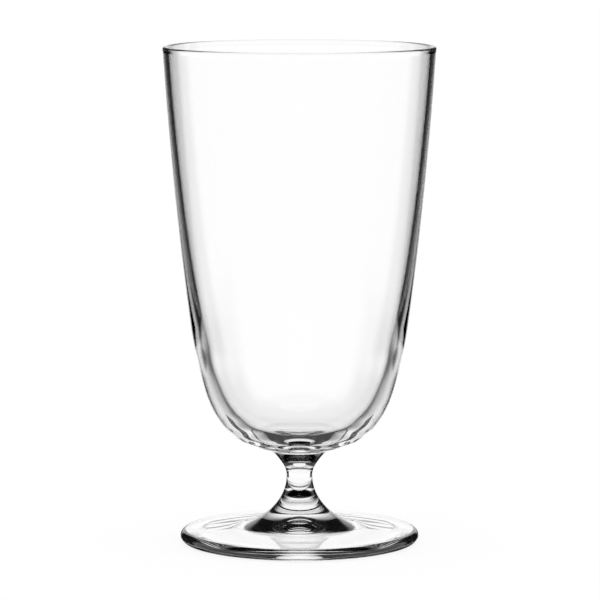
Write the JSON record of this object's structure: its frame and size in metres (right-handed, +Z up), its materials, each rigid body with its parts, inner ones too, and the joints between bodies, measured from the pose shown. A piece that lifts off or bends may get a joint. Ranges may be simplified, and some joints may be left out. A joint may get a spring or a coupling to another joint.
{
  "type": "footed highball glass",
  "caption": "Clear footed highball glass: a tall tapered bowl with a fire-polished rim on a short waisted stem and a flat round foot, for serving long drinks.",
  "frame": {"origin": "on the table, at the centre of the foot's standing ring", "axes": "+Z up the glass's axis of rotation, from the foot to the open rim; X and Y level"},
  "size_m": [0.077, 0.077, 0.1406],
  "materials": {
    "clear_glass": "clear, fire-polished"
  },
  "bodies": {
    "root": {"foot": "clear_glass", "stem": "clear_glass", "bowl": "clear_glass"}
  },
  "joints": []
}
